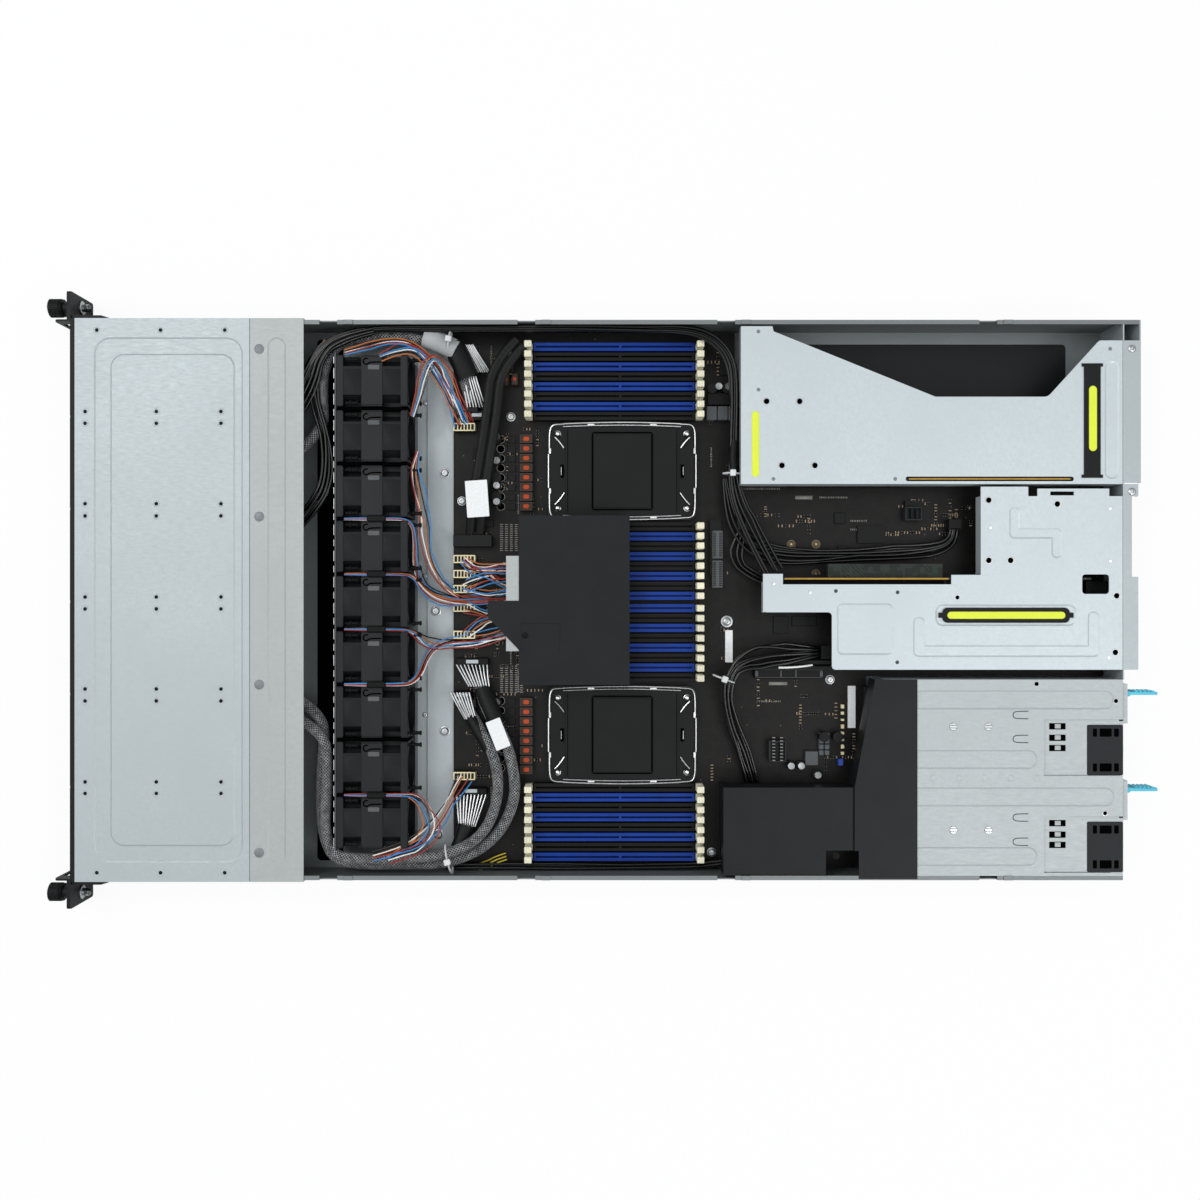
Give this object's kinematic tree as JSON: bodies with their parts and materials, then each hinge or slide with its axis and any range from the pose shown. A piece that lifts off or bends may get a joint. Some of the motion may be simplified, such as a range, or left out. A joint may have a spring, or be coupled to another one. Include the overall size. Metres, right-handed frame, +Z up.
{
  "type": "rack server",
  "caption": "One-unit rack server, rear cover off: sliding drive trays, fan row, sockets, lift-out risers and pull-out power supplies.",
  "frame": {"origin": "middle of the overall box on the underside of the pan", "axes": "-X towards the drive fronts, +X towards the power supply latches and rear ports, +Z up; the power supplies are on the -Y side"},
  "size_m": [0.879, 0.4826, 0.044],
  "materials": {
    "galvanised": "satin galvanised sheet",
    "bright_steel": "bright satin sheet",
    "steel": "satin",
    "dark_steel": "satin",
    "black_paint": "satin",
    "black_plastic": "fine grain",
    "blue_plastic": "matte",
    "cream_plastic": "matte",
    "cyan_plastic": "smooth",
    "board": "solder mask",
    "green_board": "solder mask",
    "dark_parts": "matte",
    "black_sleeve": "braided",
    "black_rubber": "matte"
  },
  "bodies": {
    "chassis": {"chassis_pan": "galvanised", "rear_panel": "galvanised", "front_cover": "galvanised", "cover_strip": "galvanised", "drive_cage": "black_paint", "backplane": "board", "fan_wall": "galvanised", "fan_housings": "black_plastic", "floor_bracket": "galvanised", "motherboard": "board", "memory_sockets_blue": "blue_plastic", "memory_sockets_black": "black_plastic", "memory_latches": "cream_plastic", "socket_frames": "steel", "socket_caps": "black_plastic", "board_parts": "dark_parts", "air_baffle": "black_plastic", "baffle_bracket": "steel", "power_baffle": "black_plastic", "psu_cage": "galvanised", "cable_looms": "black_sleeve", "fasteners": "steel", "rack_ear_left": "black_paint", "rack_ear_right": "black_paint"},
    "drive_tray_01": {"drive_tray_01": "dark_steel"},
    "drive_tray_02": {"drive_tray_02": "dark_steel"},
    "drive_tray_03": {"drive_tray_03": "dark_steel"},
    "drive_tray_04": {"drive_tray_04": "dark_steel"},
    "drive_tray_05": {"drive_tray_05": "dark_steel"},
    "drive_tray_06": {"drive_tray_06": "dark_steel"},
    "drive_tray_07": {"drive_tray_07": "dark_steel"},
    "drive_tray_08": {"drive_tray_08": "dark_steel"},
    "drive_tray_09": {"drive_tray_09": "dark_steel"},
    "drive_tray_10": {"drive_tray_10": "dark_steel"},
    "drive_tray_11": {"drive_tray_11": "dark_steel"},
    "drive_tray_12": {"drive_tray_12": "dark_steel"},
    "fan_rotor_1": {"fan_rotor_1": "black_plastic"},
    "fan_rotor_2": {"fan_rotor_2": "black_plastic"},
    "fan_rotor_3": {"fan_rotor_3": "black_plastic"},
    "fan_rotor_4": {"fan_rotor_4": "black_plastic"},
    "fan_rotor_5": {"fan_rotor_5": "black_plastic"},
    "fan_rotor_6": {"fan_rotor_6": "black_plastic"},
    "fan_rotor_7": {"fan_rotor_7": "black_plastic"},
    "fan_rotor_8": {"fan_rotor_8": "black_plastic"},
    "fan_rotor_9": {"fan_rotor_9": "black_plastic"},
    "psu_1": {"psu_1": "galvanised"},
    "psu_1_rotor": {"psu_1_rotor": "black_plastic"},
    "psu_1_latch": {"psu_1_latch": "cyan_plastic"},
    "psu_2": {"psu_2": "galvanised"},
    "psu_2_rotor": {"psu_2_rotor": "black_plastic"},
    "psu_2_latch": {"psu_2_latch": "cyan_plastic"},
    "riser_one": {"riser_one_cage": "bright_steel", "riser_one_board": "green_board", "riser_one_strap": "black_rubber"},
    "riser_two": {"riser_two_cage": "bright_steel", "riser_two_board": "green_board", "riser_two_strap": "black_rubber"},
    "thumbscrew_left": {"thumbscrew_left": "black_paint"},
    "thumbscrew_right": {"thumbscrew_right": "black_paint"},
    "power_button": {"power_button": "black_plastic"}
  },
  "joints": [
    {"name": "drive_slide_01", "type": "slide", "parent": "chassis", "child": "drive_tray_01", "axis": [-1, 0, 0], "range_m": [0, 0.13]},
    {"name": "drive_slide_02", "type": "slide", "parent": "chassis", "child": "drive_tray_02", "axis": [-1, 0, 0], "range_m": [0, 0.13]},
    {"name": "drive_slide_03", "type": "slide", "parent": "chassis", "child": "drive_tray_03", "axis": [-1, 0, 0], "range_m": [0, 0.13]},
    {"name": "drive_slide_04", "type": "slide", "parent": "chassis", "child": "drive_tray_04", "axis": [-1, 0, 0], "range_m": [0, 0.13]},
    {"name": "drive_slide_05", "type": "slide", "parent": "chassis", "child": "drive_tray_05", "axis": [-1, 0, 0], "range_m": [0, 0.13]},
    {"name": "drive_slide_06", "type": "slide", "parent": "chassis", "child": "drive_tray_06", "axis": [-1, 0, 0], "range_m": [0, 0.13]},
    {"name": "drive_slide_07", "type": "slide", "parent": "chassis", "child": "drive_tray_07", "axis": [-1, 0, 0], "range_m": [0, 0.13]},
    {"name": "drive_slide_08", "type": "slide", "parent": "chassis", "child": "drive_tray_08", "axis": [-1, 0, 0], "range_m": [0, 0.13]},
    {"name": "drive_slide_09", "type": "slide", "parent": "chassis", "child": "drive_tray_09", "axis": [-1, 0, 0], "range_m": [0, 0.13]},
    {"name": "drive_slide_10", "type": "slide", "parent": "chassis", "child": "drive_tray_10", "axis": [-1, 0, 0], "range_m": [0, 0.13]},
    {"name": "drive_slide_11", "type": "slide", "parent": "chassis", "child": "drive_tray_11", "axis": [-1, 0, 0], "range_m": [0, 0.13]},
    {"name": "drive_slide_12", "type": "slide", "parent": "chassis", "child": "drive_tray_12", "axis": [-1, 0, 0], "range_m": [0, 0.13]},
    {"name": "fan_spin_1", "type": "hinge", "parent": "chassis", "child": "fan_rotor_1", "pos_m": [-0.1784, 0.17155, 0.021], "axis": [1, 0, 0], "continuous": true},
    {"name": "fan_spin_2", "type": "hinge", "parent": "chassis", "child": "fan_rotor_2", "pos_m": [-0.1784, 0.12835, 0.021], "axis": [1, 0, 0], "continuous": true},
    {"name": "fan_spin_3", "type": "hinge", "parent": "chassis", "child": "fan_rotor_3", "pos_m": [-0.1784, 0.08515, 0.021], "axis": [1, 0, 0], "continuous": true},
    {"name": "fan_spin_4", "type": "hinge", "parent": "chassis", "child": "fan_rotor_4", "pos_m": [-0.1784, 0.04195, 0.021], "axis": [1, 0, 0], "continuous": true},
    {"name": "fan_spin_5", "type": "hinge", "parent": "chassis", "child": "fan_rotor_5", "pos_m": [-0.1784, -0.00125, 0.021], "axis": [1, 0, 0], "continuous": true},
    {"name": "fan_spin_6", "type": "hinge", "parent": "chassis", "child": "fan_rotor_6", "pos_m": [-0.1784, -0.04445, 0.021], "axis": [1, 0, 0], "continuous": true},
    {"name": "fan_spin_7", "type": "hinge", "parent": "chassis", "child": "fan_rotor_7", "pos_m": [-0.1784, -0.08765, 0.021], "axis": [1, 0, 0], "continuous": true},
    {"name": "fan_spin_8", "type": "hinge", "parent": "chassis", "child": "fan_rotor_8", "pos_m": [-0.1784, -0.13085, 0.021], "axis": [1, 0, 0], "continuous": true},
    {"name": "fan_spin_9", "type": "hinge", "parent": "chassis", "child": "fan_rotor_9", "pos_m": [-0.1784, -0.17405, 0.021], "axis": [1, 0, 0], "continuous": true},
    {"name": "psu_1_slide", "type": "slide", "parent": "chassis", "child": "psu_1", "axis": [1, 0, 0], "range_m": [0, 0.19]},
    {"name": "psu_1_fan_spin", "type": "hinge", "parent": "psu_1", "child": "psu_1_rotor", "pos_m": [0.3927, -0.1172, 0.0213], "axis": [1, 0, 0], "continuous": true},
    {"name": "psu_1_latch_swing", "type": "hinge", "parent": "psu_1", "child": "psu_1_latch", "pos_m": [0.4155, -0.0739, 0.0268], "axis": [0, 0, 1], "range_deg": [-14, 0], "stiffness_Nm_per_rad": 0.02},
    {"name": "psu_2_slide", "type": "slide", "parent": "chassis", "child": "psu_2", "axis": [1, 0, 0], "range_m": [0, 0.19]},
    {"name": "psu_2_fan_spin", "type": "hinge", "parent": "psu_2", "child": "psu_2_rotor", "pos_m": [0.3927, -0.1929, 0.0213], "axis": [1, 0, 0], "continuous": true},
    {"name": "psu_2_latch_swing", "type": "hinge", "parent": "psu_2", "child": "psu_2_latch", "pos_m": [0.4155, -0.1496, 0.0268], "axis": [0, 0, 1], "range_deg": [-14, 0], "stiffness_Nm_per_rad": 0.02},
    {"name": "riser_one_lift", "type": "slide", "parent": "chassis", "child": "riser_one", "axis": [0, 0, 1], "range_m": [0, 0.06]},
    {"name": "riser_two_lift", "type": "slide", "parent": "chassis", "child": "riser_two", "axis": [0, 0, 1], "range_m": [0, 0.06]},
    {"name": "thumbscrew_left_turn", "type": "hinge", "parent": "chassis", "child": "thumbscrew_left", "pos_m": [-0.415, 0.23255, 0.022], "axis": [1, 0, 0], "continuous": true},
    {"name": "thumbscrew_right_turn", "type": "hinge", "parent": "chassis", "child": "thumbscrew_right", "pos_m": [-0.415, -0.23255, 0.022], "axis": [1, 0, 0], "continuous": true},
    {"name": "power_button_press", "type": "slide", "parent": "chassis", "child": "power_button", "axis": [1, 0, 0], "range_m": [0, 0.0008], "stiffness_N_per_m": 500}
  ]
}
